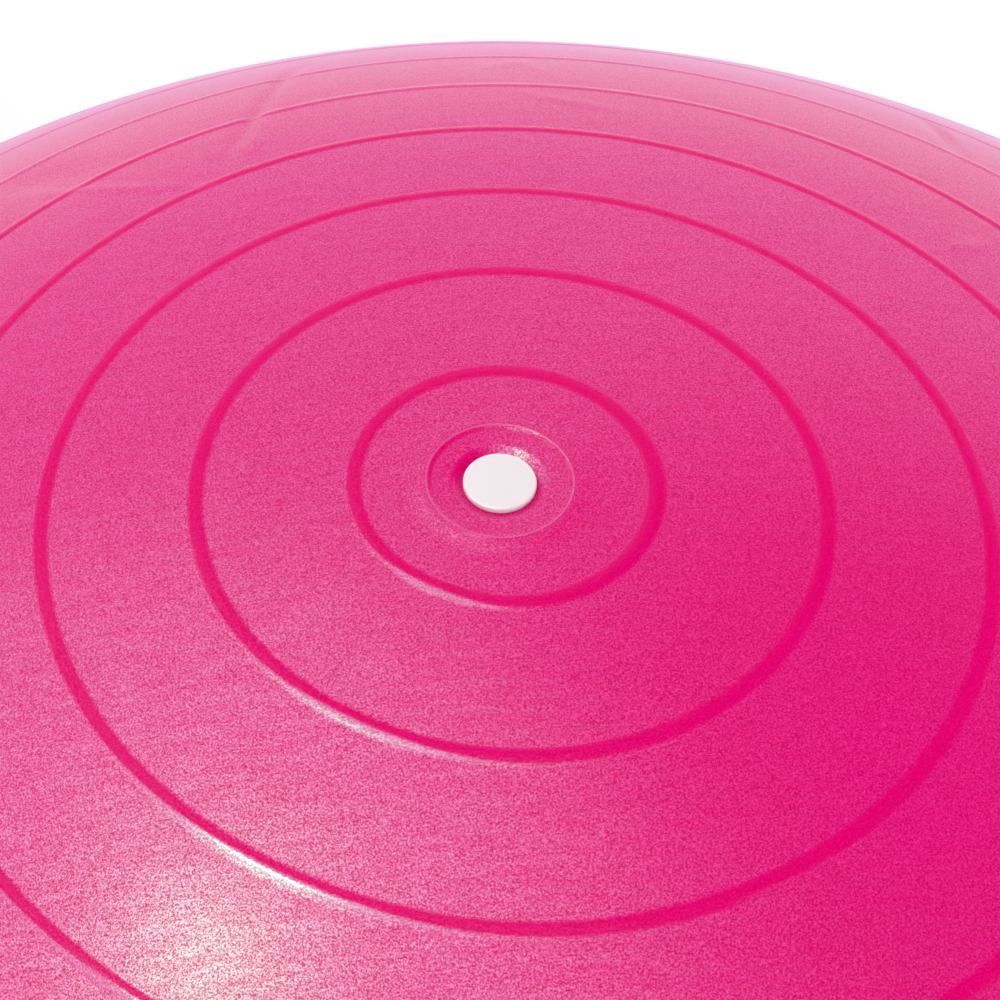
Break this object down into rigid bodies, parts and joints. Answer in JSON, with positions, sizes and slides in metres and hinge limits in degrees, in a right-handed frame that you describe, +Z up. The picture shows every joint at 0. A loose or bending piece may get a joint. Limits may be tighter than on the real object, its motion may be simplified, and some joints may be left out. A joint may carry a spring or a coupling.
{
  "type": "exercise ball",
  "caption": "Large inflated exercise ball with concentric raised grip ribs around both poles, a flush valve seat and a push-in valve plug.",
  "frame": {"origin": "centre of the flat patch that the ball rests on", "axes": "+Z up, through the centre of the ball and the valve; the ball is a solid of revolution, so X and Y are free"},
  "size_m": [0.6499, 0.65, 0.6477],
  "materials": {
    "skin": "matte",
    "plug": "satin"
  },
  "bodies": {
    "ball": {"ball_shell": "skin", "valve_seat": "skin"},
    "plug": {"valve_plug": "plug"}
  },
  "joints": [
    {"name": "plug_pull", "type": "slide", "parent": "ball", "child": "plug", "axis": [0, 0, 1], "range_m": [0, 0.032]}
  ]
}
